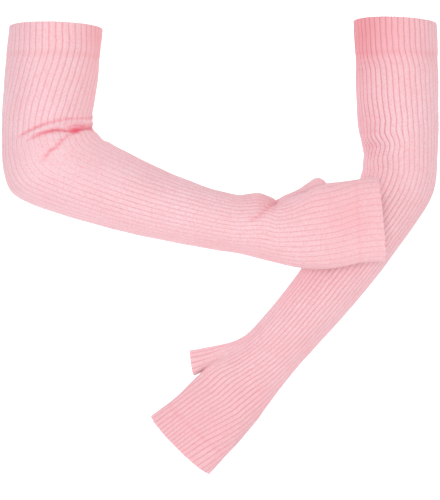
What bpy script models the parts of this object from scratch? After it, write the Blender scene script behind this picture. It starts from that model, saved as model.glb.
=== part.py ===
"""Pair of knitted arm warmers, worn on bent arms, one hand laid over the other forearm.

Metres, Z up, X to the viewer's right, Y away from the viewer. The origin is the centre of the
right warmer's upper opening. Every section is a ring of the cloth's outer face. Its size is given
by the two points where the outline is seen from the front, by its depth from front to back, and by
how square it is. The wall is offset inwards from the rings, and the ribs are the outer points.
"""

import math

import bmesh
import bpy
import numpy as np

MM = 0.001

# Cloth
RIBS_ARM = 44             # ribs around the arm
RIBS_THUMB = 10           # ribs that leave the arm for the thumb
RIB_HEIGHT = 0.7          # a rib stands this far over the groove beside it
WALL = 1.5                # cloth in a groove
WELT_WALL = 2.1           # the turned welts are double cloth
SEAM_GAP = 0.32           # between two pieces at a seam

COLUMNS = 2 * RIBS_ARM    # a rib and a groove each
HALF = RIBS_THUMB         # thumb columns on each side of its middle one
INNER_STEP = 4            # the plain inside takes every fourth column
INNER_FIRST = 2

# A section of the arm, in millimetres.
#   in_x, in_z    edge of the outline on the inside of the bent arm
#   out_x, out_z  edge on the outside of the bent arm
#   y             depth of the section's middle
#   deep          half of its size from front to back
#   square        2 is an oval, more is squarer
#   turn          how far the first rib lies from the inner edge, a share of the way around
#   bow           how far the front and back lie towards the hand
#   tuck          how far a fold pulls the cloth in, or lets it out if negative
COLS = ("name", "in_x", "in_z", "out_x", "out_z", "y", "deep", "square", "turn", "bow", "tuck")

RIGHT_ARM = (
    ("opening", 46.5, -1.0, -46.5, 0.5, 0, 46, 2.0, .060, 0, 0),
    ("welt mid", 45.3, -15.0, -48.2, -14.5, 0, 46, 2.0, .060, 0, 0),
    ("welt end", 44.1, -29.1, -49.4, -29.1, -1, 46, 2.0, .060, 0, 0),
    ("upper a", 42.6, -52.5, -51.2, -54.5, -4, 46, 2.0, .054, 0, 0),
    ("upper b", 39.6, -73.7, -52.4, -79.7, -7, 45, 2.0, .048, 0, 0),
    ("over fold", 38.2, -82.0, -52.7, -93.0, -9, 44.5, 2.0, .046, 3, -0.3),
    ("soft crease", 36.9, -87.5, -52.8, -104.0, -10, 44, 2.0, .044, 4, 1.4),
    ("roll", 39.0, -93.0, -52.8, -116.5, -11, 44, 2.0, .042, 0, -0.8),
    ("crease", 37.8, -97.6, -52.0, -129.8, -12, 43, 2.0, .040, -4, 3.6),
    ("under a", 41.4, -101.6, -50.8, -141.5, -13, 43, 2.0, .040, -4, -0.6),
    ("under b", 44.6, -106.5, -48.7, -154.0, -14, 43, 2.0, .040, -2, 0),
    ("corner a", 48.2, -111.0, -43.6, -164.9, -15, 42.5, 2.0, .040, -1, 0),
    ("corner b", 54.0, -114.6, -33.5, -171.9, -17, 42, 2.0, .041, -1, 0),
    ("fore a", 64.5, -121.0, -18.5, -178.8, -20, 41, 2.0, .042, -2, 0),
    ("fore b", 80.0, -129.0, 6.0, -187.0, -24, 39, 2.0, .045, -1, 0),
    ("fore c", 101.5, -140.3, 43.0, -198.0, -31, 36, 2.0, .048, 0, 0),
    ("fore d", 127.0, -151.8, 92.0, -209.8, -39, 32.5, 2.0, .050, 0, 0),
    ("fore e", 153.5, -161.8, 142.0, -219.3, -45, 29.5, 2.0, .053, 0, 0),
    ("fore f", 171.7, -166.6, 165.5, -223.3, -48, 28, 2.0, .055, 0, 0),
    ("dip", 184.0, -170.0, 179.4, -225.2, -51, 27, 2.0, .056, 0, .8),
    ("puff", 198.6, -167.1, 194.8, -228.2, -54, 26, 2.0, .057, 2, -1.2),
    ("under puff", 210.0, -169.3, 205.5, -231.2, -54.3, 25, 2.1, .058, 3, 0),
    ("pinch", 216.6, -173.5, 212.6, -233.2, -54.8, 24, 2.1, .059, 2, 1.6),
    ("root", 229.0, -167.3, 226.5, -236.6, -55.5, 22, 2.2, .050, 0, 0),
    ("fork", 262.0, -158.2, 264.0, -240.5, -56.4, 17.5, 2.5, .060, 0, 0),
    ("palm", 280.5, -156.0, 282.5, -238.6, -56.4, 17, 2.6, .060, 0, 0),
    ("band", 293.8, -153.9, 298.6, -234.3, -56.4, 16.5, 2.6, .060, 0, 0),
    ("band mid", 304.6, -152.8, 311.0, -232.9, -56.4, 16.3, 2.6, .060, 0, 0),
    ("end", 315.3, -151.6, 323.0, -233.0, -56.4, 16, 2.6, .060, 0, 0),
)

LEFT_ARM = (
    ("opening", 297.9, 7.6, 381.1, 3.6, 4, 41, 2.0, .030, 0, 0),
    ("welt mid", 298.9, -10.0, 381.8, -13.0, 4, 41, 2.0, .030, 0, 0),
    ("welt end", 299.7, -26.5, 382.3, -28.5, 4, 41, 2.0, .030, 0, 0),
    ("upper a", 300.2, -50.0, 383.0, -50.5, 4, 41, 2.0, .026, 0, 0),
    ("upper b", 300.5, -75.0, 383.1, -78.0, 4, 41, 2.0, .024, 0, 0),
    ("over slack", 301.4, -91.0, 382.9, -99.0, 3, 40.5, 2.0, .022, 0, -0.2),
    ("slack", 302.7, -101.8, 382.3, -114.9, 2, 40, 2.0, .022, -1, .8),
    ("roll", 304.2, -111.0, 381.9, -126.0, 2, 39.5, 2.0, .022, -2, -0.5),
    ("crook", 306.6, -121.0, 380.9, -138.5, 1, 38.5, 2.0, .022, -2, .9),
    ("under a", 307.6, -134.0, 380.2, -152.5, 0, 37, 2.0, .022, -2, -0.4),
    ("under b", 305.0, -149.5, 376.2, -170.0, -1, 35.5, 2.0, .022, -1, 0),
    ("fore a", 297.7, -166.1, 362.6, -191.1, -3, 34.5, 2.0, .024, 0, 0),
    ("fore b", 281.5, -188.1, 345.2, -215.0, -6, 33.5, 2.0, .026, 0, 0),
    ("fore c", 263.4, -213.1, 319.0, -250.8, -9, 32.5, 2.0, .028, 0, 0),
    ("fore d", 244.2, -240.8, 294.7, -278.4, -14, 31, 2.0, .030, 0, 0),
    ("fore e", 221.2, -270.8, 269.5, -305.3, -20, 29.5, 2.0, .030, 0, 0),
    ("fore f", 201.3, -294.7, 246.6, -329.6, -25, 28, 2.0, .030, 0, 0),
    ("wrist", 186.9, -307.3, 228.7, -350.4, -29, 24, 2.1, .030, 0, 0),
    ("root", 175.4, -312.1, 211.5, -372.8, -32, 21, 2.2, .032, 0, 0),
    ("fork", 146.5, -338.5, 197.5, -392.0, -35, 18.5, 2.4, .032, 1, 0),
    ("palm", 126.5, -360.3, 181.5, -410.5, -37, 17.5, 2.5, .032, 1, 0),
    ("band", 111.4, -372.9, 169.8, -422.6, -38, 17, 2.5, .032, 0, 0),
    ("band mid", 103.9, -378.2, 162.0, -431.0, -38, 16.8, 2.5, .032, 1.5, 0),
    ("end", 96.9, -383.5, 154.0, -439.8, -39, 16.5, 2.5, .032, 3, 0),
)

# The thumb opening, in millimetres: its centre, the way the thumb leaves it, and its radii.
#   up      which way the side away from the fingers lies
RIGHT_THUMB = {
    "centre": (261.3, -33.4, -163.5), "way": (.66, .69, .25), "up": (-.17, -.18, .97),
    "tall": 12.4, "wide": 12.0,
}
LEFT_THUMB = {
    "centre": (137.2, -32.0, -332.0), "way": (-.97, .14, -.20), "up": (-.12, 0, .99),
    "tall": 12.4, "wide": 12.0,
}
THUMB_WELT = 3.0          # depth of the turned edge around the thumb
FORK_ROWS = 3             # rows between the thumb's root and the fork
FORK_DIP = 2.5            # how late those rows dip from front and back to the fork

ROSE = (0.93, 0.57, 0.62)


def rows_named(table):
    """Turns the table's lines into dictionaries, one for each section."""
    return [dict(zip(COLS, line)) for line in table]


def unit(vector):
    """A vector of length one."""
    return vector / np.linalg.norm(vector)


def ring(row, count):
    """Points spaced evenly around one section's outer face."""
    inner = np.array((row["in_x"], row["y"], row["in_z"]), float)
    outer = np.array((row["out_x"], row["y"], row["out_z"]), float)
    middle = (inner + outer) / 2
    across = (inner - outer) / 2
    deep = np.array((0, row["deep"], 0), float)
    hand = unit(np.cross(deep, across))
    if row.get("hand_sign", 1) < 0:
        hand = -hand
    angle = np.linspace(0, 2 * math.pi, 721)
    power = 2 / row["square"]
    c = np.sign(np.cos(angle)) * np.abs(np.cos(angle)) ** power
    s = np.sign(np.sin(angle)) * np.abs(np.sin(angle)) ** power
    # A fold bites deepest towards the inside of the bend, on the front and, less, on the back.
    bite = np.abs(s) ** .7 * (.3 + .7 * (1 + c) / 2) * np.where(s < 0, 1, .75)
    shrink = 1 - row["tuck"] * bite / row["deep"]
    points = middle + np.outer(c, across) + np.outer(s * shrink, deep)
    points = points + np.outer(row["bow"] * s * s, hand)
    step = np.linalg.norm(np.diff(points, axis=0), axis=1)
    way = np.concatenate(([0], np.cumsum(step)))
    at = (np.arange(count) / count + row["turn"]) % 1 * way[-1]
    return np.stack([np.interp(at, way, points[:, k]) for k in range(3)], axis=1)


def oval(thumb, count, along=0.0):
    """Points around the thumb's opening, the first one on its upper side."""
    centre = np.array(thumb["centre"], float)
    way = unit(np.array(thumb["way"], float))
    up = np.array(thumb["up"], float)
    up = unit(up - way * up.dot(way))
    side = np.cross(way, up)
    if side[1] < 0:
        side = -side
    angle = np.arange(count) / count * 2 * math.pi
    flat = np.outer(np.cos(angle) * thumb["tall"], up) + np.outer(np.sin(angle) * thumb["wide"], side)
    return centre + way * along + flat


def level_outward(points):
    """Outward directions around an end, all in the plane of that end, so that two ends can meet."""
    middle = points.mean(axis=0)
    ahead = np.roll(points, -1, axis=0)
    behind = np.roll(points, 1, axis=0)
    plane = unit(np.cross(points - middle, ahead - middle).sum(axis=0))
    out = np.cross(ahead - behind, plane)
    return out / np.linalg.norm(out, axis=1)[:, None]


class Cloth:
    """A plain outer face being collected: points, four-sided cells and which points are ribs."""

    def __init__(self):
        self.points = []
        self.rib = []
        self.cells = []
        self.inner_cells = []
        self.ends = []

    def add(self, points, ribs=None):
        """Adds a row of points and returns their numbers."""
        first = len(self.points)
        for k, point in enumerate(points):
            self.points.append(point)
            self.rib.append(k % 2 == 0 if ribs is None else ribs[k])
        return list(range(first, first + len(points)))

    def strip(self, row, following, inner_at):
        """Joins two rows of equal length, on the outside and, more coarsely, on the inside."""
        for k in range(len(row) - 1):
            self.cells.append((row[k], row[k + 1], following[k + 1], following[k]))
        for k, m in zip(inner_at[:-1], inner_at[1:]):
            self.inner_cells.append((row[k], row[m], following[m], following[k]))

    def normals(self, outward):
        """Direction out of the tube at every point, from the cells around it."""
        at = np.array(self.points)
        total = np.zeros_like(at)
        for a, b, c, d in self.cells:
            face = np.cross(at[c] - at[a], at[d] - at[b])
            for k in (a, b, c, d):
                total[k] += face
        total = outward * total / np.linalg.norm(total, axis=1)[:, None]
        for row in self.ends:
            total[row] = level_outward(at[row])
        return total


def inner_picks(count):
    """Columns of a closed ring that the inside uses."""
    return list(range(INNER_FIRST, count, INNER_STEP))


def closed(row):
    """A ring's numbers with its first one again at the end."""
    return row + [row[0]]


def wall_solid(name, cloth, rims, wall, rib_height=RIB_HEIGHT):
    """Gives the collected face its thickness and closes it at its open ends.

    rims has the outer and the inner loop of each open end.
    """
    outward = cloth.normals(-1 if name.startswith("right") else 1)
    plain = np.array(cloth.points)
    sunk = np.where(np.array(cloth.rib), 0.0, rib_height)
    outer = plain - outward * sunk[:, None]
    inner = plain - outward * (rib_height + wall)
    used = sorted({k for cell in cloth.inner_cells for k in cell})
    number = {k: len(plain) + n for n, k in enumerate(used)}
    points = np.concatenate((outer, inner[used]))
    faces = [tuple(cell) for cell in cloth.cells]
    faces += [tuple(number[k] for k in reversed(cell)) for cell in cloth.inner_cells]
    for outer_loop, inner_loop in rims:
        faces += rim_faces(outer_loop, [number[k] for k in inner_loop], points)
    mesh = bpy.data.meshes.new(name)
    mesh.from_pydata([tuple(p * MM) for p in points], [], faces)
    shell = bmesh.new()
    shell.from_mesh(mesh)
    bmesh.ops.recalc_face_normals(shell, faces=shell.faces)
    shell.to_mesh(mesh)
    shell.free()
    part = bpy.data.objects.new(name, mesh)
    bpy.context.scene.collection.objects.link(part)
    material = bpy.data.materials.new(name + "_knit")
    material.use_nodes = True
    shade = material.node_tree.nodes["Principled BSDF"]
    shade.inputs["Base Color"].default_value = (*ROSE, 1)
    shade.inputs["Roughness"].default_value = 0.9
    mesh.materials.append(material)
    return part


def rim_faces(outer_loop, inner_loop, points):
    """Closes the wall between an outer loop and its shorter inner loop with triangles."""
    a = list(outer_loop)
    b = list(inner_loop)
    start = int(np.argmin(np.linalg.norm(points[a] - points[b[0]], axis=1)))
    a = a[start:] + a[:start]
    a = closed(a)
    b = closed(b)
    faces = []
    i = 0
    j = 0
    while i < len(a) - 1 or j < len(b) - 1:
        step_a = i < len(a) - 1
        if step_a and j < len(b) - 1:
            next_a = np.linalg.norm(points[a[i + 1]] - points[b[j]])
            next_b = np.linalg.norm(points[a[i]] - points[b[j + 1]])
            step_a = next_a <= next_b
        if step_a:
            faces.append((a[i], b[j], a[i + 1]))
            i += 1
        else:
            faces.append((a[i], b[j], b[j + 1]))
            j += 1
    return faces


def pulled(edge, beside, distance):
    """Moves a row of points a little way towards the row beside it."""
    way = beside - edge
    return edge + way / np.linalg.norm(way, axis=1)[:, None] * distance


def tube(name, rings, wall, count):
    """A plain length of ribbed tube through closed rings."""
    cloth = Cloth()
    rows = [cloth.add(points) for points in rings]
    picks = inner_picks(count)
    for row, following in zip(rows[:-1], rows[1:]):
        cloth.strip(closed(row), closed(following), picks)
        a, b = picks[-1], picks[0]
        cloth.inner_cells.append((row[a], row[b], following[b], following[a]))
    cloth.ends = [rows[0], rows[-1]]
    rims = [(row, [row[k] for k in picks]) for row in cloth.ends]
    return wall_solid(name, cloth, rims, wall)


def fork_rows(rings, root, fork):
    """Rows between the thumb's root and the fork, leaving and arriving the way the ribs run.

    They dip from front and back to the fork only close to it.
    """
    take = slice(HALF, COLUMNS - HALF + 1)
    start = rings[root][take]
    finish = np.concatenate((rings[fork], rings[fork][:1]))
    leave = start - rings[root - 1][take]
    arrive = np.concatenate((rings[fork + 1], rings[fork + 1][:1])) - finish
    reach = np.linalg.norm(finish - start, axis=1)[:, None]
    leave = leave / np.linalg.norm(leave, axis=1)[:, None] * reach
    arrive = arrive / np.linalg.norm(arrive, axis=1)[:, None] * reach
    count = len(start)
    from_side = np.minimum(np.arange(count), np.arange(count)[::-1])
    power = 1 + FORK_DIP * np.exp(-from_side / 5)
    rows = []
    for n in range(1, FORK_ROWS + 1):
        t = n / (FORK_ROWS + 1)
        row = start * (2 * t ** 3 - 3 * t ** 2 + 1) + finish * (3 * t ** 2 - 2 * t ** 3)
        row = row + leave * (t ** 3 - 2 * t ** 2 + t) + arrive * (t ** 3 - t ** 2)
        row[:, 1] = start[:, 1] + (finish[:, 1] - start[:, 1]) * t ** power
        rows.append(row)
    return rows


def sleeve(name, arm_rings, between, fork_ring, hand_rings, thumb_rings):
    """The long tube, which divides at the thumb's root into a hand part and a thumb part."""
    cloth = Cloth()
    arm = [cloth.add(points) for points in arm_rings]
    picks = inner_picks(COLUMNS)
    for row, following in zip(arm[:-1], arm[1:]):
        cloth.strip(closed(row), closed(following), picks)
        a, b = picks[-1], picks[0]
        cloth.inner_cells.append((row[a], row[b], following[b], following[a]))

    # Hand side of the division: an open row from one side of the thumb to the other.
    root = arm[-1]
    hand_columns = list(range(HALF, COLUMNS - HALF + 1))
    previous = [root[k] for k in hand_columns]
    picks_open = list(range(0, len(hand_columns), INNER_STEP))
    sides = []
    for points in between:
        row = cloth.add(points)
        cloth.strip(previous, row, picks_open)
        sides.append((row[0], row[-1]))
        previous = row
    fork = cloth.add(fork_ring)
    row = closed(fork)
    cloth.strip(previous, row, picks_open)
    hand_end = fork
    for points in hand_rings:
        hand_end = cloth.add(points)
        cloth.strip(row, closed(hand_end), picks_open)
        row = closed(hand_end)

    # Thumb side: over the root, down the back of the division, the fork, and up its front.
    back = [root[k] for k in range(0, HALF + 1)] + [pair[0] for pair in sides]
    front = [pair[1] for pair in reversed(sides)] + [root[k] for k in range(COLUMNS - HALF, COLUMNS)]
    loop = back + [fork[0]] + front
    outer_side = HALF + len(sides) + 1
    inner = list(range(2, HALF + 1, INNER_STEP)) + list(range(HALF + 1, outer_side + len(sides) + 1))
    inner = inner + [len(loop) - k for k in reversed(range(2, HALF + 1, INNER_STEP))]
    previous = loop
    for points in thumb_rings:
        row = cloth.add(points)
        cloth.strip(closed(previous), closed(row), inner)
        a, b = inner[-1], inner[0]
        cloth.inner_cells.append((previous[a], previous[b], row[b], row[a]))
        previous = row
    cloth.ends = [arm[0], hand_end, previous]
    rims = [
        (arm[0], [arm[0][k] for k in picks]),
        (hand_end, [hand_end[k] for k in picks_open[:-1]]),
        (previous, [previous[k] for k in inner]),
    ]
    return wall_solid(name, cloth, rims, WALL)


def warmer(side, table, thumb, thumb_rows):
    """One arm warmer: upper welt, sleeve, hand welt and thumb welt."""
    rows = rows_named(table)
    names = [row["name"] for row in rows]
    welt_end = names.index("welt end")
    root = names.index("root")
    fork = names.index("fork")
    band = names.index("band")
    hand_columns = COLUMNS - 2 * HALF
    rings = []
    for k, row in enumerate(rows):
        if side == "left":
            row["hand_sign"] = -1
        rings.append(ring(row, COLUMNS if k <= root else hand_columns))

    near = SEAM_GAP / 2
    # Upper welt
    upper = rings[:welt_end + 1]
    upper = upper[:-1] + [pulled(rings[welt_end], rings[welt_end - 1], near)]
    tube(side + "_upper_welt", upper, WELT_WALL, COLUMNS)

    # Sleeve
    arm = [pulled(rings[welt_end], rings[welt_end + 1], near)] + rings[welt_end + 1:root + 1]
    hand = rings[fork + 1:band] + [pulled(rings[band], rings[band - 1], near)]
    loop_count = 2 * HALF + 2 * (FORK_ROWS + 1)
    between = fork_rows(rings, root, fork)
    base = fork_loop(rings[root], between, rings[fork])
    edge = oval(thumb, loop_count, -THUMB_WELT - near)
    thumb_rings = []
    for share in thumb_rows:
        thumb_rings.append(base + (edge - base) * share)
    sleeve(side + "_sleeve", arm, between, rings[fork], hand, thumb_rings)

    # Hand welt
    lower = [pulled(rings[band], rings[band + 1], near)] + rings[band + 1:]
    tube(side + "_hand_welt", lower, WELT_WALL, hand_columns)

    # Thumb welt
    cuff = [oval(thumb, loop_count, -THUMB_WELT + near), oval(thumb, loop_count)]
    tube(side + "_thumb_welt", cuff, WALL, loop_count)


def fork_loop(root_ring, between, fork_ring):
    """The points that the thumb part starts from, in the order of its rings."""
    back = [row[0] for row in between]
    front = [row[-1] for row in reversed(between)]
    over = list(root_ring[:HALF + 1])
    last = list(root_ring[COLUMNS - HALF:])
    return np.array(over + back + [fork_ring[0]] + front + last)


for old in list(bpy.data.objects):
    bpy.data.objects.remove(old)

warmer("right", RIGHT_ARM, RIGHT_THUMB, (.35, .7, 1))
warmer("left", LEFT_ARM, LEFT_THUMB, (.3, .6, 1))
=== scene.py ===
# %% [markdown]
# # A pair of rib-knit arm warmers
# Each arm warmer is one long tube of ribbed knitting, worn over a bent arm. A turned double band
# closes it at the upper arm and at the fingers, and a short branch lets the thumb out.
# The hard model gives the size and the place of every piece. This script loads it, makes a finer
# skin of yarn over each piece, and lights it like the product shot.

# %% Load the frame
import math

import bmesh
import bpy
import numpy as np
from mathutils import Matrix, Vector


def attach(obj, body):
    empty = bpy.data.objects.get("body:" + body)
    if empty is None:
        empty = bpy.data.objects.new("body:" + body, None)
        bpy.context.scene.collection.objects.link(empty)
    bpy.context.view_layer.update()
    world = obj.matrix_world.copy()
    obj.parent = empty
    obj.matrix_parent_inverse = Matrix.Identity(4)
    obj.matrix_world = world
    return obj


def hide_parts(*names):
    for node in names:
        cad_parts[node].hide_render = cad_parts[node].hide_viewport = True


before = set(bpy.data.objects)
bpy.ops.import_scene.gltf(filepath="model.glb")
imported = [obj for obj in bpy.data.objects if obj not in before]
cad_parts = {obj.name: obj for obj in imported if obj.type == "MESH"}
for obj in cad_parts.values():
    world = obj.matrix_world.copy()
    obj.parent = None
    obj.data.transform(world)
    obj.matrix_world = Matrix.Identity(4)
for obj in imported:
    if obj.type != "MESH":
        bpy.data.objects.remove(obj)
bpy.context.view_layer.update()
print("nodes:", sorted(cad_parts))

# %% [markdown]
# ## The sizes
# A knitted tube has no flat pattern to trace. It is easiest to describe by its cross-sections: the
# two points where each one shows its edge from the front, its depth, and how square it is.
# The same sections gave the hard model its walls, so the finer skin lies on them.

# %% Named sizes, in millimetres
MM = 0.001
COLUMNS = 88              # a rib and a groove each: 44 ribs around the arm
HALF = 10                 # columns on each side of the thumb's middle one
FORK_ROWS = 3             # rows between the thumb's root and the fork
FORK_DIP = 2.5            # how late these rows sink towards the fork
DIP_SPREAD = 5            # columns beside the fork that do so
RIB_HEIGHT = 0.7          # how far a rib of the hard model stands out over its groove
THUMB_WELT = 3.0          # depth of the turned edge around the thumb
# A section has its two edges seen from the front, the y of its middle, its half depth and how
# square it is. Turn is the share of the way around at which its columns start. Its front and back
# bow towards the hand, and the cloth is tucked in where it folds.
COLS = ("name", "in_x", "in_z", "out_x", "out_z", "y", "deep", "square", "turn", "bow", "tuck")
RIGHT_ARM = (
    ("opening", 46.5, -1.0, -46.5, 0.5, 0, 46, 2.0, .060, 0, 0),
    ("welt mid", 45.3, -15.0, -48.2, -14.5, 0, 46, 2.0, .060, 0, 0),
    ("welt end", 44.1, -29.1, -49.4, -29.1, -1, 46, 2.0, .060, 0, 0),
    ("upper a", 42.6, -52.5, -51.2, -54.5, -4, 46, 2.0, .054, 0, 0),
    ("upper b", 39.6, -73.7, -52.4, -79.7, -7, 45, 2.0, .048, 0, 0),
    ("over fold", 38.2, -82.0, -52.7, -93.0, -9, 44.5, 2.0, .046, 3, -0.3),
    ("soft crease", 36.9, -87.5, -52.8, -104.0, -10, 44, 2.0, .044, 4, 1.4),
    ("roll", 39.0, -93.0, -52.8, -116.5, -11, 44, 2.0, .042, 0, -0.8),
    ("crease", 37.8, -97.6, -52.0, -129.8, -12, 43, 2.0, .040, -4, 3.6),
    ("under a", 41.4, -101.6, -50.8, -141.5, -13, 43, 2.0, .040, -4, -0.6),
    ("under b", 44.6, -106.5, -48.7, -154.0, -14, 43, 2.0, .040, -2, 0),
    ("corner a", 48.2, -111.0, -43.6, -164.9, -15, 42.5, 2.0, .040, -1, 0),
    ("corner b", 54.0, -114.6, -33.5, -171.9, -17, 42, 2.0, .041, -1, 0),
    ("fore a", 64.5, -121.0, -18.5, -178.8, -20, 41, 2.0, .042, -2, 0),
    ("fore b", 80.0, -129.0, 6.0, -187.0, -24, 39, 2.0, .045, -1, 0),
    ("fore c", 101.5, -140.3, 43.0, -198.0, -31, 36, 2.0, .048, 0, 0),
    ("fore d", 127.0, -151.8, 92.0, -209.8, -39, 32.5, 2.0, .050, 0, 0),
    ("fore e", 153.5, -161.8, 142.0, -219.3, -45, 29.5, 2.0, .053, 0, 0),
    ("fore f", 171.7, -166.6, 165.5, -223.3, -48, 28, 2.0, .055, 0, 0),
    ("dip", 184.0, -170.0, 179.4, -225.2, -51, 27, 2.0, .056, 0, .8),
    ("puff", 198.6, -167.1, 194.8, -228.2, -54, 26, 2.0, .057, 2, -1.2),
    ("under puff", 210.0, -169.3, 205.5, -231.2, -54.3, 25, 2.1, .058, 3, 0),
    ("pinch", 216.6, -173.5, 212.6, -233.2, -54.8, 24, 2.1, .059, 2, 1.6),
    ("root", 229.0, -167.3, 226.5, -236.6, -55.5, 22, 2.2, .050, 0, 0),
    ("fork", 262.0, -158.2, 264.0, -240.5, -56.4, 17.5, 2.5, .060, 0, 0),
    ("palm", 280.5, -156.0, 282.5, -238.6, -56.4, 17, 2.6, .060, 0, 0),
    ("band", 293.8, -153.9, 298.6, -234.3, -56.4, 16.5, 2.6, .060, 0, 0),
    ("band mid", 304.6, -152.8, 311.0, -232.9, -56.4, 16.3, 2.6, .060, 0, 0),
    ("end", 315.3, -151.6, 323.0, -233.0, -56.4, 16, 2.6, .060, 0, 0),
)
LEFT_ARM = (
    ("opening", 297.9, 7.6, 381.1, 3.6, 4, 41, 2.0, .030, 0, 0),
    ("welt mid", 298.9, -10.0, 381.8, -13.0, 4, 41, 2.0, .030, 0, 0),
    ("welt end", 299.7, -26.5, 382.3, -28.5, 4, 41, 2.0, .030, 0, 0),
    ("upper a", 300.2, -50.0, 383.0, -50.5, 4, 41, 2.0, .026, 0, 0),
    ("upper b", 300.5, -75.0, 383.1, -78.0, 4, 41, 2.0, .024, 0, 0),
    ("over slack", 301.4, -91.0, 382.9, -99.0, 3, 40.5, 2.0, .022, 0, -0.2),
    ("slack", 302.7, -101.8, 382.3, -114.9, 2, 40, 2.0, .022, -1, .8),
    ("roll", 304.2, -111.0, 381.9, -126.0, 2, 39.5, 2.0, .022, -2, -0.5),
    ("crook", 306.6, -121.0, 380.9, -138.5, 1, 38.5, 2.0, .022, -2, .9),
    ("under a", 307.6, -134.0, 380.2, -152.5, 0, 37, 2.0, .022, -2, -0.4),
    ("under b", 305.0, -149.5, 376.2, -170.0, -1, 35.5, 2.0, .022, -1, 0),
    ("fore a", 297.7, -166.1, 362.6, -191.1, -3, 34.5, 2.0, .024, 0, 0),
    ("fore b", 281.5, -188.1, 345.2, -215.0, -6, 33.5, 2.0, .026, 0, 0),
    ("fore c", 263.4, -213.1, 319.0, -250.8, -9, 32.5, 2.0, .028, 0, 0),
    ("fore d", 244.2, -240.8, 294.7, -278.4, -14, 31, 2.0, .030, 0, 0),
    ("fore e", 221.2, -270.8, 269.5, -305.3, -20, 29.5, 2.0, .030, 0, 0),
    ("fore f", 201.3, -294.7, 246.6, -329.6, -25, 28, 2.0, .030, 0, 0),
    ("wrist", 186.9, -307.3, 228.7, -350.4, -29, 24, 2.1, .030, 0, 0),
    ("root", 175.4, -312.1, 211.5, -372.8, -32, 21, 2.2, .032, 0, 0),
    ("fork", 146.5, -338.5, 197.5, -392.0, -35, 18.5, 2.4, .032, 1, 0),
    ("palm", 126.5, -360.3, 181.5, -410.5, -37, 17.5, 2.5, .032, 1, 0),
    ("band", 111.4, -372.9, 169.8, -422.6, -38, 17, 2.5, .032, 0, 0),
    ("band mid", 103.9, -378.2, 162.0, -431.0, -38, 16.8, 2.5, .032, 1.5, 0),
    ("end", 96.9, -383.5, 154.0, -439.8, -39, 16.5, 2.5, .032, 3, 0),
)
RIGHT_THUMB = {
    "centre": (261.3, -33.4, -163.5), "way": (.66, .69, .25), "up": (-.17, -.18, .97),
    "tall": 12.4, "wide": 12.0,
}
LEFT_THUMB = {
    "centre": (137.0, -36.0, -332.0), "way": (-.98, .10, -.15), "up": (-.06, .35, .93),
    "tall": 12.6, "wide": 12.8,
}
FORK_PULL = {"right": (0, 0, 0), "left": (-5.0, -11.5, -4.5)}   # taut cloth draws the fork this way
NEXT_PULL = (.15, .4, .15)   # the share of it that reaches the next section
FORK_SPREAD = 3.5         # columns beside the fork that are drawn along
THUMB_NUMBERS = 200       # the thumb's columns are numbered from here
THUMB_RINGS = {"right": (.35, .7, 1), "left": (.3, .6, 1)}   # where they lie, as shares of its length
print("sections:", len(RIGHT_ARM), "right and", len(LEFT_ARM), "left")

# %% [markdown]
# ## One cross-section
# A section is a squared oval. Its points are spaced evenly along the cloth, because the ribs of a
# stretched tube share its length out evenly, on the flat of the hand as well as around its edges.

# %% Points of one section
OVAL_STEPS = 721          # points of the dense oval on which the even ones are found
TUCK_EDGE = .7            # how quickly a tuck sets in from the section's edges
TUCK_OUTER = .3           # the share of it on the outer side of the bend
TUCK_BACK = .75           # the share of it on the back


def unit(vector):
    """A vector of length one."""
    return vector / np.linalg.norm(vector)


def section_points(row, count, flip):
    """Points spaced evenly around one section's outer face, in millimetres."""
    inner = np.array((row["in_x"], row["y"], row["in_z"]), float)
    outer = np.array((row["out_x"], row["y"], row["out_z"]), float)
    across = (inner - outer) / 2
    deep = np.array((0, row["deep"], 0), float)
    towards_hand = unit(np.cross(deep, across)) * flip
    angle = np.linspace(0, 2 * math.pi, OVAL_STEPS)
    power = 2 / row["square"]
    c = np.sign(np.cos(angle)) * np.abs(np.cos(angle)) ** power
    s = np.sign(np.sin(angle)) * np.abs(np.sin(angle)) ** power
    inside = TUCK_OUTER + (1 - TUCK_OUTER) * (1 + c) / 2
    bite = np.abs(s) ** TUCK_EDGE * inside * np.where(s < 0, 1, TUCK_BACK)
    shrink = 1 - row["tuck"] * bite / row["deep"]
    points = (inner + outer) / 2 + np.outer(c, across) + np.outer(s * shrink, deep)
    points = points + np.outer(row["bow"] * s * s, towards_hand)
    way = np.concatenate(([0], np.cumsum(np.linalg.norm(np.diff(points, axis=0), axis=1))))
    at = (np.arange(count) / count + row["turn"]) % 1 * way[-1]
    return np.stack([np.interp(at, way, points[:, k]) for k in range(3)], axis=1)


def thumb_points(thumb, count, along=0.0):
    """Points around the thumb's opening, or around a section a little way along the thumb."""
    way = unit(np.array(thumb["way"], float))
    up = np.array(thumb["up"], float)
    up = unit(up - way * up.dot(way))
    side = np.cross(way, up)
    side = side if side[1] > 0 else -side
    angle = np.arange(count) / count * 2 * math.pi
    flat = np.outer(np.cos(angle) * thumb["tall"], up) + np.outer(np.sin(angle) * thumb["wide"], side)
    return np.array(thumb["centre"], float) + way * along + flat


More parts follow.
